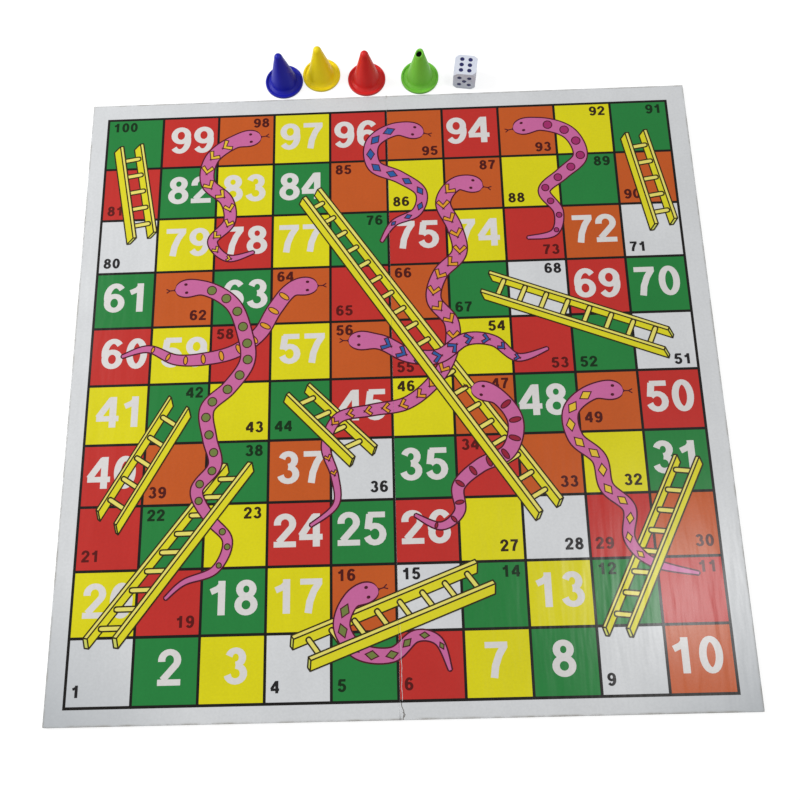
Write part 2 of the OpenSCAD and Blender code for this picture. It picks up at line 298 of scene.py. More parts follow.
def wrap_profile(steps=6):
    """The paper's closed cross-section over one edge, as (inset from the outline, height). Its
    outside runs from the top round a quarter circle, down the edge, round another and in under
    the board. Its inside comes back along the same course, one paper thickness further in."""
    turn = np.linspace(0, math.pi / 2, steps)[:, None]

    def course(depth):
        upper = np.hstack([EDGE_ROUND - (EDGE_ROUND - depth) * np.sin(turn),
                           BOARD_TOP - EDGE_ROUND + (EDGE_ROUND - depth) * np.cos(turn)])
        lower = np.hstack([FOLD_ROUND - (FOLD_ROUND - depth) * np.cos(turn),
                           SHEET_LOW + FOLD_ROUND - (FOLD_ROUND - depth) * np.sin(turn)])
        return np.vstack([upper, lower, [[TURN_IN, SHEET_LOW + depth]]])

    return np.vstack([course(0), course(PAPER)[::-1]])


def sheet_points(side):
    """Points of the wrapped sheet on a grid: along its three outer edges, and round the profile.
    An inset point moves in from both edges at a corner, whose circle it shrinks."""
    inset, height = wrap_profile().T
    swing = np.linspace(-math.pi / 2, 0, CORNER_STEPS)
    angles = np.concatenate([swing, swing + math.pi / 2])
    corner_y = np.repeat([-1, 1], CORNER_STEPS)[:, None]
    back_off = CORNER_ROUND + np.maximum(inset - CORNER_ROUND, 0)[None]
    radius = np.maximum(CORNER_ROUND - inset, 0)[None]
    x = HALF - back_off + radius * np.cos(angles)[:, None]
    y = corner_y * (HALF_LONG - back_off) + radius * np.sin(angles)[:, None]
    ends_x = np.full((1, len(inset)), CREASE_REACH)
    end_y = (HALF_LONG - inset)[None]
    x = np.concatenate([ends_x, x, ends_x])
    y = np.concatenate([-end_y, y, end_y])
    z = np.broadcast_to(height, x.shape)
    return np.stack([side * x, y, z], axis=-1)


# The face paper has soil along its edges and painted shade at its two front corners.
face_white = clouded("face_white", linear(208, 210, 212), linear(217, 219, 221), 0.24,
                     grain=FILM_GRAIN, gloss=FILM_GLOSS, film=True, soil_and_shade=True)
for side_name, side in SIDES.items():
    grid = sheet_points(side)
    along, across = grid.shape[:2]
    index = np.arange(along * across).reshape(along, across)
    skin = np.stack([index[:-1, :-1], index[1:, :-1], index[1:, 1:], index[:-1, 1:]], axis=-1)
    faces = skin.reshape(-1, 4).tolist()
    faces += [index[:, 0].tolist(), index[::-1, -1].tolist(), index[0].tolist(),
              index[-1, ::-1].tolist()]
    faces += [[index[0, 0], index[0, -1], index[-1, -1], index[-1, 0]]]
    sheet = closed_mesh(f"{side_name}_face_paper", grid.reshape(-1, 3), faces, face_white)
    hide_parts(f"{side_name}_face_sheet")
    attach(sheet, f"{side_name}_half")


# Crease at the fold. Between the two boards only the face paper is left, and it bends here. It
# lies in a shallow groove.
GROOVE = 0.07 * MM
# Share by which the groove's depth comes and goes along it, and how often it does so
GROOVE_UNEVEN = 0.3
GROOVE_WAVES = 37
CREASE_RUNS = 24
CREASE_ROWS = 80
share_x, share_y = np.meshgrid(np.linspace(-1, 1, CREASE_RUNS + 1),
                               np.linspace(-1, 1, CREASE_ROWS + 1), indexing="ij")
uneven = 1 + GROOVE_UNEVEN * np.sin(share_y * GROOVE_WAVES)
dip = GROOVE * np.cos(share_x * math.pi / 2) ** 2 * uneven
upper = np.stack([share_x * CREASE_REACH, share_y * HALF_LONG, BOARD_TOP - dip], axis=-1)
lower = upper - (0, 0, PAPER)
count = (CREASE_RUNS + 1) * (CREASE_ROWS + 1)
index = np.arange(count).reshape(CREASE_RUNS + 1, CREASE_ROWS + 1)
cells = np.stack([index[:-1, :-1], index[1:, :-1], index[1:, 1:], index[:-1, 1:]], axis=-1)
cells = cells.reshape(-1, 4)
rim = np.concatenate([index[:, 0], index[-1, 1:], index[-2::-1, -1], index[0, -2:0:-1]])
walls = np.column_stack([rim, rim + count, np.roll(rim, -1) + count, np.roll(rim, -1)])
crease = closed_mesh("fold_crease", np.concatenate([upper.reshape(-1, 3), lower.reshape(-1, 3)]),
                     cells.tolist() + (cells[:, ::-1] + count).tolist() + walls.tolist(),
                     face_white, smooth=True)
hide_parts("fold_crease_strip")
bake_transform(crease)


# Cores and lining. The boards under the paper are grey millboard, seen only at the slit of the
# fold, and the back is lined with a dark uncoated paper.
def dress(node, finish):
    """Gives a CAD node its finish, in every slot."""
    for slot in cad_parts[node].material_slots:
        slot.material = finish


greyboard = clouded("greyboard", linear(128, 120, 110), linear(160, 152, 140), 0.85, cloud=300,
                    grain=0.08 * MM)
lining = clouded("lining", linear(44, 45, 50), linear(60, 61, 66), 0.7, cloud=120, speck=1500,
                 grain=0.06 * MM)
for side_name in SIDES:
    dress(f"{side_name}_board_core", greyboard)
    dress(f"{side_name}_back_lining", lining)


# Squares and lines. The four flat inks of the squares stop at the black lines of the track, and
# the white squares are bare paper.
INKS = {"red": (191, 44, 38), "green": (32, 126, 58), "yellow": (219, 211, 12),
        "orange": (194, 87, 29)}
# The two tones of an ink's clouds as shares of its colour, and its roughness under the film
INK_TONES = (0.95, 1.04)
INK_ROUGH = 0.235


def ink_finish(name, colour):
    """A printing ink under the film: the colour, with slightly darker and lighter clouds."""
    dark, light = ((*np.array(linear(*colour))[:3] * share, 1) for share in INK_TONES)
    return clouded(name, dark, light, INK_ROUGH, grain=FILM_GRAIN, gloss=FILM_GLOSS, film=True)


square_finish = {hue: ink_finish(f"{hue}_ink", tone) for hue, tone in INKS.items()}
line_black = ink_finish("line_black", (16, 12, 9))
for side_name in SIDES:
    for hue in INKS:
        dress(f"{side_name}_{hue}_squares", square_finish[hue])
    dress(f"{side_name}_track_lines", line_black)


# Numbers. Each square has its number, large and white in its middle or small and dark in a
# corner that the snakes and ladders leave free. Plain heavy figures, drawn with a flat pen.
SQUARE = 30 * MM
PER_SIDE = 10
TRACK = PER_SIDE * SQUARE
# Thickness of the squares' ink and of the numbers', and half of the print's gap at the fold
INK = 0.03 * MM
NUMBER_INK = 0.012 * MM
CRACK = 0.05 * MM
NUMBER_LOW = BOARD_TOP + INK
NUMBER_HIGH = NUMBER_LOW + NUMBER_INK
# Corners of the print nearer than this in millimetres are one, and a triangle smaller than this
# in square metres is dropped
SAME_CORNER = 1e-5
SLIVER = 1e-14


def headings(points):
    """The unit direction of a path at each of its points, from the points before and after. A
    path that ends where it starts is a ring."""
    run = np.gradient(points, axis=0)
    if np.allclose(points[0], points[-1]):
        run[[0, -1]] = points[1] - points[-2]
    return run / np.linalg.norm(run, axis=1)[:, None]


def stroke(points, half):
    """The outlines of a pen stroke: between each two points a four-sided stretch, as wide to each
    side of the path as half says, square to the path's direction."""
    points = np.asarray(points, float)
    reach = np.broadcast_to(np.asarray(half, float), (len(points),))[:, None]
    run = headings(points)
    out = np.column_stack([-run[:, 1], run[:, 0]]) * reach
    right, left = points - out, points + out
    return list(np.stack([right[:-1], right[1:], left[1:], left[:-1]], axis=1))


def printed(name, shapes, low, high, finish):
    """A flat layer of ink between two heights, from the hulls of shapes in metres that may
    overlap. They are cut along the fold, merged into triangles, and given walls along their rim.
    Each side of the fold becomes a piece that rides on its own half."""
    reach = HALF / MM
    fold = [[x, y] for x in (-CRACK / MM, CRACK / MM) for y in (-reach, reach)]
    hulls = [np.asarray(shape)[geometry.convex_hull_2d([Vector(c) for c in shape])] / MM
             for shape in shapes]
    corners = np.concatenate([fold] + hulls)
    ends = len(fold) + np.cumsum([0] + [len(hull) for hull in hulls])
    rings = [list(range(a, b)) for a, b in zip(ends[:-1], ends[1:])]
    merged = geometry.delaunay_2d_cdt([Vector(c) for c in corners], [(0, 1), (2, 3)], rings, 0,
                                      SAME_CORNER)
    flat = np.array([tuple(p) for p in merged[0]]) * MM
    inside = np.array([bool(owners) for owners in merged[5]])
    triangles = np.array(merged[2])[inside]
    a, b, c = (flat[triangles[:, k]] for k in range(3))
    area = (b[:, 0] - a[:, 0]) * (c[:, 1] - a[:, 1]) - (c[:, 0] - a[:, 0]) * (b[:, 1] - a[:, 1])
    triangles[area < 0] = triangles[area < 0][:, ::-1]
    middle = (a + b + c)[:, 0] / 3
    pieces = []
    for side_name, side in SIDES.items():
        kept = triangles[(middle * side > CRACK) & (np.abs(area) > SLIVER)]
        if not len(kept):
            continue
        edges = np.concatenate([kept[:, [0, 1]], kept[:, [1, 2]], kept[:, [2, 0]]])
        key = edges[:, 0] * len(flat) + edges[:, 1]
        rim = edges[~np.isin(key, edges[:, 1] * len(flat) + edges[:, 0])]
        walls = np.column_stack([rim, rim[:, ::-1] + len(flat)])[:, [1, 0, 3, 2]]
        heights = np.repeat([high, low], len(flat))[:, None]
        points = np.hstack([np.concatenate([flat, flat]), heights])
        faces = kept.tolist() + (kept[:, ::-1] + len(flat)).tolist() + walls.tolist()
        piece = closed_mesh(f"{side_name}_{name}", points, faces, finish)
        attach(piece, f"{side_name}_half")
        pieces.append(piece)
    return pieces


def arc(x, y, rx, ry, start, end, steps=14):
    """Points on an ellipse about (x, y) from one angle to another, in degrees."""
    turn = np.radians(np.linspace(start, end, steps))
    return np.column_stack([x + rx * np.cos(turn), y + ry * np.sin(turn)])


# Strokes of each figure, in shares of its height. FIGURE_W is the room that it takes in a row.
FIGURE_W = 0.78
SIX = [arc(0.39, 0.325, 0.235, 0.245, 0, 360, 24), arc(0.42, 0.53, 0.275, 0.41, 42, 196)]
FIGURES = {
    "0": [arc(0.39, 0.5, 0.235, 0.435, 0, 360, 28)],
    "1": [[(0.445, 0), (0.445, 1)], [(0.44, 0.88), (0.33, 0.77), (0.12, 0.68)]],
    "2": [np.concatenate([arc(0.375, 0.705, 0.235, 0.23, 190, -32), [(0.40, 0.39), (0.18, 0.15)]]),
          [(0.035, 0.085), (0.715, 0.085)]],
    "3": [arc(0.375, 0.735, 0.20, 0.20, 166, -90), arc(0.375, 0.29, 0.24, 0.22, 90, -170)],
    "4": [[(0.54, 0), (0.54, 1)], [(0.02, 0.29), (0.73, 0.29)], [(0.075, 0.33), (0.49, 0.93)]],
    "5": [[(0.17, 0.915), (0.69, 0.915)], [(0.225, 0.93), (0.165, 0.48)],
          arc(0.375, 0.325, 0.245, 0.255, 138, -165)],
    "6": SIX,
    "7": [[(0.06, 0.915), (0.72, 0.915)], [(0.64, 0.90), (0.47, 0.64), (0.35, 0.33), (0.30, 0)]],
    "8": [arc(0.39, 0.74, 0.20, 0.19, 0, 360, 24), arc(0.39, 0.285, 0.24, 0.22, 0, 360, 24)],
    "9": [(FIGURE_W, 1) - points for points in SIX]}
PEN_UPRIGHT = 0.10
PEN_LEVEL = 0.08


def figure_shapes(digit, corner, height, pen):
    """The outlines of one figure. The pen is wider where the stroke runs up than across, and pen
    makes it heavier all round."""
    shapes = []
    for points in FIGURES[digit]:
        run = headings(np.asarray(points, float))
        half = pen * np.hypot(PEN_UPRIGHT * run[:, 1], PEN_LEVEL * run[:, 0])
        shapes += [corner + quad * height for quad in stroke(points, half)]
    return shapes


# The print's front left corner, from the frame line that runs round it
track_lines = np.array([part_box(f"{side_name}_track_lines") for side_name in SIDES])
TRACK_CORNER = (track_lines[0, 0, :2] + track_lines[1, 1, :2] - TRACK) / 2


def on_track(place):
    """A place given in squares from the track's front left corner, on the board."""
    return np.asarray(place, float) * SQUARE + TRACK_CORNER


def square_corner(number):
    """Lower left corner of a square: rows run to and fro, from the front left square up."""
    row, step = divmod(number - 1, PER_SIDE)
    return on_track([step if row % 2 == 0 else PER_SIDE - 1 - step, row])


# The large and the small numbers: height and pitch of a figure in squares, and its pen's weight
BIG = {"height": 0.514, "pitch": 0.408, "pen": 1.08}
SMALL = {"height": 0.176, "pitch": 0.152, "pen": 1.27}
# Where a large number stands and starts in its square. The print isn't even: some lie further
# over than the rest.
BIG_LOW = 0.295
BIG_START = 0.085
BIG_STARTS = {0.365: [2, 3], 0.275: [7, 8], 0.05: [10, 48, 94, 96],
              0.125: [37, 45, 57, 61, 72, 74, 78, 79, 82, 99], 0.155: [20, 41, 59, 60, 63]}
start_of = {n: start for start, numbers in BIG_STARTS.items() for n in numbers}
# Squares with a small number in their top left, top right, lower left or lower right corner.
# All the others have a large one.
SMALL_PLACES = {
    "top left": [12, 15, 16, 22, 34, 46, 56, 58, 64, 66, 85, 100],
    "top right": [11, 14, 23, 38, 42, 47, 54, 68, 76, 87, 89, 91, 92, 98],
    "low left": [1, 4, 5, 6, 9, 21, 29, 39, 44, 49, 52, 55, 65, 67, 71, 80, 81, 86, 88, 90],
    "low right": [19, 27, 28, 30, 32, 33, 36, 43, 51, 53, 62, 73, 93, 95]}
corner_of = {n: place for place, numbers in SMALL_PLACES.items() for n in numbers}
# Free space beside and above a small number, and below it in each row from the front
MARGIN_X = 0.09
MARGIN_HIGH = 0.065
MARGINS_LOW = [0.15, 0.125, 0.147, 0.12, 0.147, 0.085, 0.11, 0.105, 0.10, 0.078]
# The ink of each square in playing order, a string for each row, and the tint that a small
# number's black takes on it. W is bare paper.
ROW_INKS = ["WGYWGRYGWO", "RGYGWOYGRY", "RGYRGRYWRO", "GYORGWOGOR", "YGYGRYOGOR",
            "WGRYROYRYR", "GOGOROGWRG", "WORYRGYRYW", "RGYGOYOYGO", "GYORORYORG"]
SMALL_TINTS = {"W": (28, 26, 28), "R": (88, 4, 3), "G": (1, 41, 6), "Y": (47, 28, 2),
               "O": (76, 8, 3)}


def number_shapes(number, style, x, y):
    """The outlines of a whole number whose lower left corner is at (x, y) in its square."""
    start = square_corner(number) + np.array([x, y]) * SQUARE
    return [shape for k, digit in enumerate(str(number))
            for shape in figure_shapes(digit, start + (k * style["pitch"] * SQUARE, 0),
                                       style["height"] * SQUARE, style["pen"])]


big_shapes = []
small_shapes = {letter: [] for letter in SMALL_TINTS}
for number in range(1, PER_SIDE ** 2 + 1):
    place = corner_of.get(number)
    if not place:
        big_shapes += number_shapes(number, BIG, start_of.get(number, BIG_START), BIG_LOW)
        continue
    row, step = divmod(number - 1, PER_SIDE)
    wide = (len(str(number)) - 1) * SMALL["pitch"] + FIGURE_W * SMALL["height"]
    x = MARGIN_X if "left" in place else 1 - MARGIN_X - wide
    y = MARGINS_LOW[row] if "low" in place else 1 - MARGIN_HIGH - SMALL["height"]
    small_shapes[ROW_INKS[row][step]] += number_shapes(number, SMALL, x, y)
printed("large_numbers", big_shapes, NUMBER_LOW, NUMBER_HIGH,
        ink_finish("number_white", (218, 215, 213)))
for letter, hue in {"W": "white", "R": "red", "G": "green", "Y": "yellow", "O": "orange"}.items():
    printed(f"small_numbers_on_{hue}", small_shapes[letter], NUMBER_LOW, NUMBER_HIGH,
            ink_finish(f"black_on_{hue}", SMALL_TINTS[letter]))


# Ladders. Each is drawn as two planks seen a little from one side, with a broad face, a paler
# narrow one and a sawn foot, all dark-lined, and pale rungs with rounded tips. The rungs lie on
# the far plank and run under the near one, and so does a snake that crosses the ladder.
LAYER = 0.008 * MM
# Width of the dark lines, and half of a rung's width
LINE = 0.0235 * SQUARE
RUNG_HALF = 0.028 * SQUARE
plank_outline = ink_finish("plank_outline", (44, 34, 3))
plank_face = ink_finish("plank_face", (220, 212, 32))
plank_side = ink_finish("plank_side", (230, 219, 106))
plank_end = ink_finish("plank_end", (204, 208, 98))
# All places are in squares. Of each plank, the foot and the head of the edge where its two faces
# meet, first of the far one and then of the near one. Then the way across the narrow face and
# across the broad face from that edge, the same for both planks. Then the way along a rung, and
# how far across the far plank's broad face it starts. Then the number of rungs, and the first
# and the last rung's share of the way up.
LADDERS = [
    [(0.279, 0.996), (2.339, 3.644), (0.729, 0.993), (2.735, 3.652), (-0.067, 0.010),
     (0.033, -0.147), (0.340, 0.003), 0.45, 9, 0.078, 0.930],
    [(3.429, 0.917), (6.258, 1.980), (3.694, 0.603), (6.518, 1.662), (-0.038, 0.054),
     (-0.011, -0.153), (0.197, -0.265), 0.5, 8, 0.078, 0.938],
    [(8.140, 0.976), (9.491, 3.582), (8.494, 0.952), (9.835, 3.542), (-0.054, 0.006),
     (0.041, -0.125), (0.290, -0.032), 0.5, 8, 0.100, 0.933],
    [(0.309, 2.930), (1.382, 4.772), (0.609, 2.710), (1.679, 4.584), (-0.037, 0.030),
     (0.040, -0.152), (0.272, -0.178), 0.35, 5, 0.135, 0.855],
    [(7.591, 2.917), (3.777, 8.476), (7.254, 2.723), (3.516, 8.320), (0.061, 0.034),
     (-0.057, -0.119), (-0.250, -0.140), 0.5, 19, 0.0435, 0.964],
    [(4.706, 3.835), (3.616, 4.914), (4.346, 3.663), (3.275, 4.763), (0.042, 0.038),
     (-0.045, -0.127), (-0.285, -0.122), 0.55, 4, 0.178, 0.866],
    [(9.581, 5.671), (6.677, 6.780), (9.479, 5.326), (6.527, 6.450), (0.018, 0.056),
     (0.060, -0.137), (-0.142, -0.315), 0.15, 8, 0.072, 0.914],
    [(9.900, 7.688), (9.550, 9.429), (9.559, 7.598), (9.221, 9.379), (0.060, 0.006),
     (-0.087, -0.118), (-0.287, -0.044), 0.35, 5, 0.120, 0.852],
    [(0.926, 7.759), (0.596, 9.501), (0.576, 7.659), (0.240, 9.458), (0.056, 0.006),
     (-0.100, -0.115), (-0.306, -0.050), 0.36, 5, 0.123, 0.854]]


def oval(centre, run, reach, slim, steps=16):
    """Points on an oval about a centre, so long along a heading and so wide across it."""
    turn = np.linspace(0, 2 * math.pi, steps, endpoint=False)[:, None]
    out = np.array([-run[1], run[0]])
    return centre + np.cos(turn) * run * reach + np.sin(turn) * out * slim


def shrunk(corners, by):
    """A convex outline with each of its sides moved in by a distance."""
    points = np.asarray(corners, float)
    side = np.roll(points, -1, axis=0) - points
    side /= np.linalg.norm(side, axis=1)[:, None]
    after = np.roll(side, -1, axis=0)
    turning = np.sign((side[:, 0] * after[:, 1] - side[:, 1] * after[:, 0]).sum())
    inward = np.column_stack([-side[:, 1], side[:, 0]]) * turning
    before = np.roll(inward, 1, axis=0)
    return points + by * (inward + before) / (1 + (inward * before).sum(axis=1))[:, None]


def plank_shapes(foot, head, narrow, broad):
    """Outlines of a plank from the edge where its two faces meet: the dark ground, which is half
    a line wider than the plank, and the broad face, the narrow face and the sawn foot on it."""
    rim = [foot + narrow, foot + narrow + broad, foot + broad, head + broad, head, head + narrow]
    faces = {"broad": [foot, foot + broad, head + broad, head],
             "narrow": [foot + narrow, foot, head, head + narrow],
             "foot": [foot + narrow, foot, foot + broad, foot + narrow + broad]}
    shapes = {part: [shrunk(corners, LINE / 2)] for part, corners in faces.items()}
    shapes["ground"] = [np.concatenate([oval(p, (1, 0), LINE / 2, LINE / 2, 8) for p in rim])]
    return shapes


# Shares of a rung's tip along it, and of its width at each
TIP_ALONG = np.array([0, 0.2, 0.5, 1])
TIP_WIDTH = np.array([0.35, 0.72, 0.93, 1])
TIP_LENGTH = 0.05 * SQUARE


def rung_shapes(start, end, half, before):
    """A rung from its rounded tip to its end: a stroke that starts a distance before the tip."""
    run = (end - start) / np.linalg.norm(end - start)
    points = np.vstack([start + np.outer(TIP_ALONG * TIP_LENGTH - before, run), end])
    return stroke(points, half * np.append(TIP_WIDTH, 1))


far, near = {}, {}
rungs, rung_grounds = [], []
for ladder in LADDERS:
    far_foot, far_head, near_foot, near_head = (on_track(place) for place in ladder[:4])
    narrow, broad, rung = (np.array(way) * SQUARE for way in ladder[4:7])
    start_share, count, first, last = ladder[7:]
    for level, foot, head in ((far, far_foot, far_head), (near, near_foot, near_head)):
        for part, shapes in plank_shapes(foot, head, narrow, broad).items():
            level.setdefault(part, []).extend(shapes)
    for share in np.linspace(first, last, count):
        tip = far_foot + (far_head - far_foot) * share + broad * start_share
        rung_grounds += rung_shapes(tip, tip + rung, RUNG_HALF + LINE, LINE)
        rungs += rung_shapes(tip, tip + rung, RUNG_HALF, 0)


def print_planks(level, shapes, low):
    """The dark ground of the planks of one level, and on it their faces."""
    high = low + LAYER
    finishes = {"broad": plank_face, "narrow": plank_side, "foot": plank_end}
    printed(f"{level}_plank_outlines", shapes["ground"], low, high, plank_outline)
    for part, finish in finishes.items():
        printed(f"{level}_plank_{part}", shapes[part], high, high + LAYER / 2, finish)


FAR_LOW = NUMBER_HIGH + LAYER
RUNG_LOW = FAR_LOW + 2 * LAYER
print_planks("far", far, FAR_LOW)
printed("rung_outlines", rung_grounds, RUNG_LOW, RUNG_LOW + LAYER, plank_outline)
printed("rungs", rungs, RUNG_LOW + LAYER, RUNG_LOW + 1.5 * LAYER, plank_side)


# Snakes. Ten plain snakes seen from above, pink with a dark outline: an oval head with two
# small eyes and a forked tongue, and a smooth body that tapers to a fine tail. Each has a row
# of simple marks down its back, in its own colour.
BODY_HALF = 0.117 * SQUARE
HEAD_HALF = 0.15 * SQUARE
HEAD_LENGTH = 0.4 * SQUARE
# Where the head is widest and where the neck ends, in head lengths from the snout
WIDEST_AT = 0.55
NECK_END = 1.25
# Width left at the tail's tip, as a share of the body's, and the square of that left at the
# snout, as a share of the head's
TAIL_SHARE = 0.16
SNOUT_SQUARED = 0.002
OUTLINE = 0.024 * SQUARE
snake_pink = ink_finish("snake_pink", (199, 102, 156))
snake_outline = ink_finish("snake_outline", (76, 6, 30))
mark_inks = {name: ink_finish(f"mark_{name}", tone) for name, tone in {
    "yellow": (226, 190, 50), "blue": (40, 92, 160), "rose": (160, 40, 104),
    "amber": (222, 156, 36), "olive": (112, 126, 62), "crimson": (150, 26, 52)}.items()}
# Route of each snake's back from snout to tail in squares, its marks and their colour, and its
# level: a snake of level 1 lies over those of level 0.
SNAKES = {
    "16_to_6": ([(4.72, 1.62), (4.32, 1.48), (4.16, 1.08), (4.42, 0.72), (4.92, 0.66),
                 (5.28, 0.92), (5.62, 0.84), (5.78, 0.42)], "diamonds", "olive", 0),
    "47_to_26": ([(6.30, 4.78), (6.72, 4.62), (6.98, 4.20), (6.84, 3.72), (6.38, 3.50),
                  (6.02, 3.18), (6.02, 2.78), (5.72, 2.56), (5.32, 2.74)], "bars", "crimson", 0),
    "49_to_11": ([(8.74, 4.66), (8.26, 4.66), (7.88, 4.36), (7.92, 3.90), (8.26, 3.56),
                  (8.34, 3.10), (8.66, 2.76), (8.62, 2.28), (8.94, 1.92), (9.62, 1.74)],
                 "diamonds", "yellow", 0),
    "56_to_53": ([(4.30, 5.66), (4.82, 5.62), (5.28, 5.38), (5.78, 5.34), (6.24, 5.62),
                  (6.70, 5.58), (7.08, 5.28), (7.58, 5.42)], "chevrons", "blue", 1),
    "62_to_19": ([(1.36, 6.66), (1.86, 6.68), (2.34, 6.38), (2.56, 5.86), (2.62, 5.36),
                  (2.34, 4.92), (1.98, 4.56), (2.04, 4.06), (2.14, 3.62), (1.86, 3.22),
                  (2.08, 2.78), (2.38, 2.42), (2.20, 1.98), (1.72, 1.80), (1.44, 1.56)],
                 "spots", "olive", 1),
    "64_to_60": ([(3.78, 6.66), (3.36, 6.62), (3.06, 6.26), (2.82, 5.84), (2.42, 5.54),
                  (1.92, 5.42), (1.42, 5.42), (0.96, 5.62), (0.52, 5.50)], "bars", "amber", 0),
    "87_to_24": ([(6.66, 8.42), (6.22, 8.50), (5.96, 8.14), (6.14, 7.66), (6.20, 7.18),
                  (5.86, 6.80), (5.74, 6.34), (6.02, 5.92), (5.98, 5.40), (5.70, 4.92),
                  (5.24, 4.56), (4.68, 4.46), (4.12, 4.34), (3.92, 3.88), (4.06, 3.40),
                  (4.08, 2.94), (3.68, 2.62)], "chevrons", "amber", 0),
    "93_to_73": ([(7.26, 9.54), (7.76, 9.62), (8.24, 9.42), (8.40, 8.96), (8.06, 8.62),
                  (7.72, 8.30), (7.94, 7.90), (7.84, 7.50), (7.38, 7.42)], "spots", "rose", 0),
    "95_to_75": ([(5.66, 9.52), (5.18, 9.62), (4.76, 9.36), (4.78, 8.90), (5.22, 8.66),
                  (5.58, 8.36), (5.50, 7.98), (5.10, 7.78), (4.88, 7.44)], "diamonds", "blue", 0),
    "98_to_78": ([(2.76, 9.56), (2.30, 9.48), (1.90, 9.16), (1.84, 8.68), (2.18, 8.32),
                  (2.24, 7.90), (1.96, 7.54), (2.24, 7.22), (2.68, 7.32)], "chevrons", "yellow",
                 0)}


def spline(knots, steps=10):
    """A smooth course through the knots: each stretch is the cubic that passes through its two
    knots, with slopes taken from their neighbours."""
    p = np.asarray(knots, float)
    before, after = np.vstack([p[:1], p[:-2]]), np.vstack([p[2:], p[-1:]])
    a, b, c, d = before[:, None], p[:-1, None], p[1:, None], after[:, None]
    t = np.linspace(0, 1, steps, endpoint=False)[None, :, None]
    course = (2 * b + (c - a) * t + (2 * a - 5 * b + 4 * c - d) * t ** 2
              + (3 * b - a - 3 * c + d) * t ** 3) / 2
    return np.vstack([course.reshape(-1, 2), p[-1:]])


def body_half(along, whole):
    """Half of the snake's width at each distance from the snout: the front of an oval, a neck
    that eases from the head's width to the body's, and a taper that grows towards the tail."""
    widest, neck = WIDEST_AT * HEAD_LENGTH, NECK_END * HEAD_LENGTH
    body = BODY_HALF * (TAIL_SHARE + (1 - TAIL_SHARE) * (1 - (along / whole) ** 3))
    front = HEAD_HALF * np.sqrt(np.clip(1 - ((along - widest) / widest) ** 2,
                                        SNOUT_SQUARED, 1))
    ease = (1 + np.cos(math.pi * np.clip((along - widest) / (neck - widest), 0, 1))) / 2
    return np.where(along < widest, front, body + (HEAD_HALF - body) * ease)


# Half lengths of the marks along and across the back, in shares of the body's half width there.
# Of a chevron: how far its wings reach out and back, how far on its point lies, and its pen.
OVAL_MARKS = {"spots": (0.62, 0.62), "bars": (0.30, 0.80)}
DIAMOND = (0.85, 0.55)
WING_REACH, WING_BACK, POINT_ON, CHEVRON_PEN = 0.8, 0.45, 0.5, 0.22


def mark(kind, centre, run, size):
    """One mark of a row, about as wide as size: a round spot, a bar, a diamond or a chevron."""
    out = np.array([-run[1], run[0]])
    if kind in OVAL_MARKS:
        reach, slim = OVAL_MARKS[kind]
        return [oval(centre, run, size * reach, size * slim)]
    if kind == "diamonds":
        reach, slim = DIAMOND
        return [centre + np.array([-run * reach, -out * slim, run * reach, out * slim]) * size]
    wing = [centre + (out * s - run * WING_BACK) * size * WING_REACH for s in (-1, 0, 1)]
    wing[1] = centre + run * size * POINT_ON
    return stroke(wing, size * CHEVRON_PEN)


SNAKE_LOW = RUNG_LOW + 2 * LAYER
SNAKE_RISE = 3.5 * LAYER
# A row of marks starts so many head lengths from the snout and ends at a share of the snake's
# length. A mark is so wide as a share of the body, and has a dark rim.
FIRST_MARK = 1.55
LAST_MARK = 0.9
MARK_PITCH = 0.30 * SQUARE
MARK_SHARE = 0.95
MARK_RIM = 0.018 * SQUARE
# The tongue's reach from the snout and where it forks, and the way on and out of the fork's
# ends, in squares
TONGUE_REACH = 0.10
FORK_AT = 0.09
FORK_ON, FORK_OUT = 0.06, 0.035
TONGUE_HALF = 0.009 * SQUARE
# Where the eyes lie, in head lengths and in shares of the head's half width, and their size
EYE_AT = 0.42
EYE_OUT = 0.5
EYE_LONG, EYE_WIDE = 0.03 * SQUARE, 0.024 * SQUARE
# Half widths of the outline's ends at the snout and the tail, in outlines
SNOUT_END, TAIL_END = 0.5, 0.6
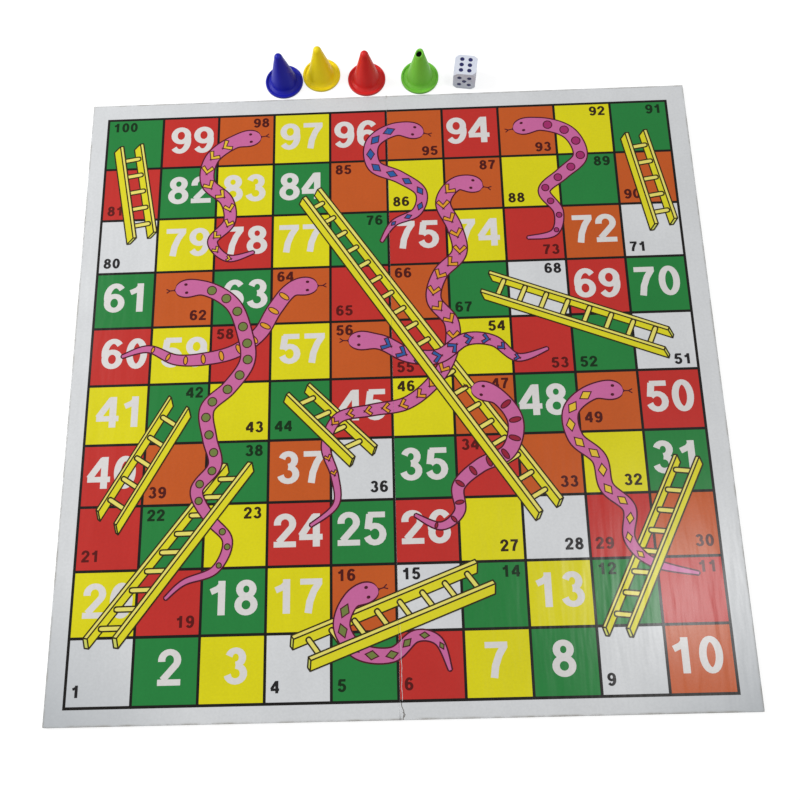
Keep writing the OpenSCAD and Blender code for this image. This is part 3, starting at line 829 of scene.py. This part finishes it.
# Points along a snake, and the share by which they crowd towards its head
BACK_POINTS = 200
CROWDED = 0.35
fine = np.linspace(0, 1, BACK_POINTS)
for name, (route, kind, hue, level) in SNAKES.items():
    course = on_track(spline(route))
    lengths = np.append(0, np.cumsum(np.linalg.norm(np.diff(course, axis=0), axis=1)))
    whole = lengths[-1]
    along = whole * (CROWDED * fine ** 2 + (1 - CROWDED) * fine)
    back = np.column_stack([np.interp(along, lengths, course[:, k]) for k in range(2)])
    half = body_half(along, whole)
    run = headings(back)
    low = SNAKE_LOW + level * SNAKE_RISE
    snout, nose = back[0], -run[0]
    tongue = stroke([snout - nose * OUTLINE, snout + nose * TONGUE_REACH * SQUARE], TONGUE_HALF)
    fork = snout + nose * FORK_AT * SQUARE
    for turn in (-1, 1):
        side_way = np.array([-nose[1], nose[0]]) * turn
        fork_end = fork + (nose * FORK_ON + side_way * FORK_OUT) * SQUARE
        tongue += stroke([fork, fork_end], TONGUE_HALF)
    rim_points = np.vstack([back[:1] + nose * OUTLINE, back, back[-1:] + run[-1] * OUTLINE])
    rim_half = np.concatenate([[OUTLINE * SNOUT_END], half + OUTLINE, [OUTLINE * TAIL_END]])
    printed(f"snake_{name}_outline", stroke(rim_points, rim_half) + tongue, low, low + LAYER,
            snake_outline)
    printed(f"snake_{name}", stroke(back, half), low + LAYER, low + 2 * LAYER, snake_pink)
    marks, rims = [], []
    for place in np.arange(FIRST_MARK * HEAD_LENGTH, whole * LAST_MARK, MARK_PITCH):
        k = np.searchsorted(along, place)
        size = half[k] * MARK_SHARE
        marks += mark(kind, back[k], run[k], size)
        rims += [shrunk(shape, -MARK_RIM) for shape in marks[-2 if kind == "chevrons" else -1:]]
    eye = int(np.searchsorted(along, EYE_AT * HEAD_LENGTH))
    out = np.array([-run[eye][1], run[eye][0]])
    eyes = [oval(back[eye] + out * s * HEAD_HALF * EYE_OUT, run[eye], EYE_LONG, EYE_WIDE)
            for s in (-1, 1)]
    printed(f"snake_{name}_mark_rims", rims + eyes, low + 2 * LAYER, low + 2.5 * LAYER,
            snake_outline)
    printed(f"snake_{name}_marks", marks, low + 2.5 * LAYER, low + 3 * LAYER, mark_inks[hue])

print_planks("near", near, SNAKE_LOW + 2 * SNAKE_RISE)
for side_name in SIDES:
    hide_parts(f"{side_name}_ladders")
    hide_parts(f"{side_name}_snakes")


# Wear at the fold. The print has flaked off in a thin white line beside the fold at the front,
# and the paper of the front border is cracked there, with a small tear drawn as a grey line of
# painted shade.
TOP_LAYER = SNAKE_LOW + 3 * SNAKE_RISE
# The flaked line in squares: where it runs, how far and how often it wanders in two waves, how
# far back it ends, its least width as a share of its greatest, and how often that changes
FLAKE_X = 5.052
FLAKE_WANDER = 0.006
LONG_WAVE, SHORT_WAVE = 9, 23
FLAKE_END = 1.12
FLAKE_LEAST = 0.6
FLAKE_BEADS = 31
FLAKE_HALF = 0.004 * SQUARE
rise = np.linspace(0, FLAKE_END, 40)
wander = FLAKE_WANDER * np.sin(rise * SHORT_WAVE) * np.sin(rise * LONG_WAVE)
flaked = np.column_stack([FLAKE_X + wander, rise])
uneven = FLAKE_LEAST + (1 - FLAKE_LEAST) * np.sin(rise * FLAKE_BEADS) ** 2
flake_widths = FLAKE_HALF * uneven * (1 - (rise / FLAKE_END) ** 6)
printed("fold_flaking", stroke(on_track(flaked), flake_widths), TOP_LAYER, TOP_LAYER + LAYER,
        face_white)
# The tear in squares: where it starts, how far and how often it wanders, how much it drifts to
# the right on its way to its end in front of the track, and the hook beside it
TEAR_X = 5.045
TEAR_WANDER = 0.012
TEAR_WAVE = 30
TEAR_DRIFT = 0.1
TEAR_END = -0.262
TEAR_HALF = 0.006 * SQUARE
fall = np.linspace(0, TEAR_END, 16)
wander = TEAR_WANDER * np.sin(fall * TEAR_WAVE)
tear = np.column_stack([TEAR_X + wander - TEAR_DRIFT * fall, fall])
hook = [(5.055, -0.155), (5.09, -0.19), (5.07, -0.225)]
# The tear's grey line is painted shade in the crack.
printed("fold_tear", stroke(on_track(tear), TEAR_HALF) + stroke(on_track(hook), TEAR_HALF),
        BOARD_TOP, BOARD_TOP + LAYER, ink_finish("tear_shade", (112, 108, 104)))


# Pawns. Four hollow cones of satin plastic, moulded with a domed tip and standing on a flat
# saucer with a raised rim. The green one has an open tip, where its mould didn't fill.
PAWN_TINTS = {"blue": (8, 16, 168), "yellow": (252, 226, 6), "red": (220, 34, 31),
              "green": (120, 203, 62)}
PAWN_ROUND = 96
PAWN_WALL = 0.9 * MM
# Radius of the cone at its foot and at its domed tip, height of its foot, and its rows of points
CONE_FOOT = 7.45 * MM
CONE_TIP = 2.2 * MM
CONE_LOW = 0.9 * MM
CONE_ROWS = 15
# The saucer's raised rim: height, width, rounding, and the share of it below the rim
RIM_HIGH = 1.4 * MM
RIM_WIDE = 1.1 * MM
RIM_ROUND = 0.3 * MM
UNDER_SHARE = 0.6
# The rounding between saucer and cone: its radius, the share of it that lies outside the cone's
# foot, and the angle at which it meets the cone
FOOT_ROUND = 0.7 * MM
FOOT_SHARE = 0.6
FOOT_ANGLE = -166


def bend(centre, radius, start, end, steps=7):
    """Points of a profile on a circle, as (radius from the axis, height), between two angles in
    degrees."""
    turn = np.radians(np.linspace(start, end, steps))
    return np.column_stack([centre[0] + radius * np.cos(turn), centre[1] + radius * np.sin(turn)])


def cone_radius(height, tall):
    """Radius of the cone outside: it narrows evenly from its foot to where the dome starts."""
    share = (height - CONE_LOW) / (tall - CONE_TIP - CONE_LOW)
    return CONE_FOOT + (CONE_TIP - CONE_FOOT) * share


def saucer_profile(reach):
    """Outside of the base, from its lower edge over the raised rim and in to the cone's foot."""
    under, over = reach - RIM_ROUND, RIM_HIGH - RIM_ROUND
    inner = reach - RIM_WIDE
    foot = CONE_FOOT + FOOT_SHARE * FOOT_ROUND
    lower = UNDER_SHARE * RIM_ROUND
    return np.vstack([
        bend((under, lower), lower, -90, 0, 4) + ((1 - UNDER_SHARE) * RIM_ROUND, 0),
        bend((under, over), RIM_ROUND, 0, 90),
        bend((inner + RIM_ROUND, over), RIM_ROUND, 90, 180),
        bend((inner - RIM_ROUND / 2, CONE_LOW + RIM_ROUND / 2), RIM_ROUND / 2, 0, -90, 4),
        bend((foot + FOOT_ROUND, CONE_LOW + FOOT_ROUND), FOOT_ROUND, -90, FOOT_ANGLE, 5)])


def turned(name, radius, height, centre, finish):
    """A surface of revolution about the upright line through centre, from a radius and a height
    for each point of the profile, which may differ from one angle to the next."""
    turn = np.linspace(0, 2 * math.pi, PAWN_ROUND, endpoint=False)
    radius, height = np.broadcast_arrays(radius, height)
    x = centre[0] + radius * np.cos(turn)
    y = centre[1] + radius * np.sin(turn)
    rows, columns = x.shape
    index = np.arange(rows * columns).reshape(rows, columns)
    after = np.roll(index, -1, axis=1)
    faces = np.stack([index[:-1], after[:-1], after[1:], index[1:]], axis=-1).reshape(-1, 4)
    return closed_mesh(name, np.stack([x, y, height], axis=-1).reshape(-1, 3), faces.tolist(),
                       finish, smooth=True)


# The two tones of the plastic's clouds as shares of its colour
PLASTIC_TONES = (0.94, 1.05)


def plastic(name, colour):
    """Satin moulded plastic: an even colour with faint clouds, and a slightly uneven skin."""
    dark, light = ((*np.array(linear(*colour))[:3] * share, 1) for share in PLASTIC_TONES)
    return clouded(name, dark, light, 0.44, cloud=90, speck=2500, grain=0.006 * MM, gloss=0.36)


# The mouth of the green pawn: the height of its middle, its slope towards the front left, the
# thickness of its lip, which is thin on that side and thick behind, the depth at which its wall
# is as thick as the rest, and how deep light reaches, below which the hollow is painted dark as
# shade.
MOUTH_HIGH = 20.9 * MM
MOUTH_SLOPE = 0.42
MOUTH_FACING = math.radians(235)
MOUTH_LIP = 0.86 * MM
MOUTH_UNEVEN = 0.66
MOUTH_DEEP = 4 * MM
MOUTH_LIT = 1.3 * MM
share_up = np.linspace(0, 1, CONE_ROWS)[:, None]
angle_round = np.linspace(0, 2 * math.pi, PAWN_ROUND, endpoint=False)
for tint, colour in PAWN_TINTS.items():
    low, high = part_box(f"{tint}_pawn")
    centre = ((low.x + high.x) / 2, (low.y + high.y) / 2)
    # The green cone is as steep as the others, though its tip is missing.
    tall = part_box("red_pawn")[1].z
    saucer = saucer_profile((high.x - low.x) / 2)
    dome_low = tall - CONE_TIP
    if tint == "green":
        facing = np.cos(angle_round - MOUTH_FACING)
        mouth = MOUTH_HIGH - MOUTH_SLOPE * CONE_TIP * facing
        up = saucer[-1, 1] + (mouth - saucer[-1, 1]) * share_up
        outside = np.stack([cone_radius(up, tall), up], axis=-1)
        rim = MOUTH_LIP * (1 - MOUTH_UNEVEN * facing)
        wall = rim + (PAWN_WALL - rim) * np.clip((mouth - up) / MOUTH_DEEP, 0, 1)
        inside = np.stack([cone_radius(up, tall) - wall, up], axis=-1)[::-1]
        lip = (outside[-1] + inside[0])[None] / 2 + (0, MOUTH_LIP / 4)
        rows = [outside, lip, inside]
    else:
        up = saucer[-1, 1] + (dome_low - saucer[-1, 1]) * share_up[:-1, 0]
        outside = np.column_stack([cone_radius(up, tall), up])
        dome = bend((0, dome_low), CONE_TIP, 0, 90, 9)
        roof = bend((0, dome_low), CONE_TIP - PAWN_WALL, 90, 0, 7)
        inside = (outside - (PAWN_WALL, 0))[::-1]
        rows = [section[:, None] for section in (outside, dome, roof, inside)]
    foot = np.array([[CONE_FOOT - PAWN_WALL, 0]])[:, None]
    rows = [foot, saucer[:, None]] + rows + [foot]
    profile = np.concatenate([np.broadcast_to(r, (len(r), PAWN_ROUND, 2)) for r in rows])
    pawn = turned(f"{tint}_cone_pawn", profile[..., 0], profile[..., 1], centre,
                  plastic(f"{tint}_plastic", colour))
    if tint == "green":
        # The hollow is unpolished, and painted dark as shade but for its wall just inside the
        # mouth.
        pawn.data.materials.append(clouded("green_hollow_shade", linear(14, 26, 8), linear(22, 38, 12),
                                           0.9, cloud=300, speck=2500, gloss=0.1))
        at, facing_way = np.empty((2, len(pawn.data.polygons), 3))
        pawn.data.polygons.foreach_get("center", at.ravel())
        pawn.data.polygons.foreach_get("normal", facing_way.ravel())
        inward = ((at[:, :2] - centre) * facing_way[:, :2]).sum(axis=1) < 0
        # Inside faces deeper than the light reaches take the dark painted shade.
        shaded_hollow = inward & (at[:, 2] > CONE_LOW + FOOT_ROUND)
        at_mouth = np.arctan2(at[:, 1] - centre[1], at[:, 0] - centre[0]) - MOUTH_FACING
        shaded_hollow &= at[:, 2] < MOUTH_HIGH - MOUTH_SLOPE * CONE_TIP * np.cos(at_mouth) - MOUTH_LIT
        pawn.data.polygons.foreach_set("material_index", shaded_hollow.astype(np.int32))
    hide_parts(f"{tint}_pawn")
    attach(pawn, f"{tint}_pawn")


# Die. A small white plastic cube with softened corners, and pips drilled into it and filled
# with dark blue paint. The CAD solid is its shape, and its finish is given here.
dress("die", clouded("die_white", linear(216, 221, 236), linear(229, 234, 246), 0.28, cloud=200,
                     speck=2500, grain=0.005 * MM))
dress("die_pip_paint", clouded("pip_navy", linear(20, 22, 84), linear(32, 34, 104), 0.4,
                               cloud=600, speck=2500))
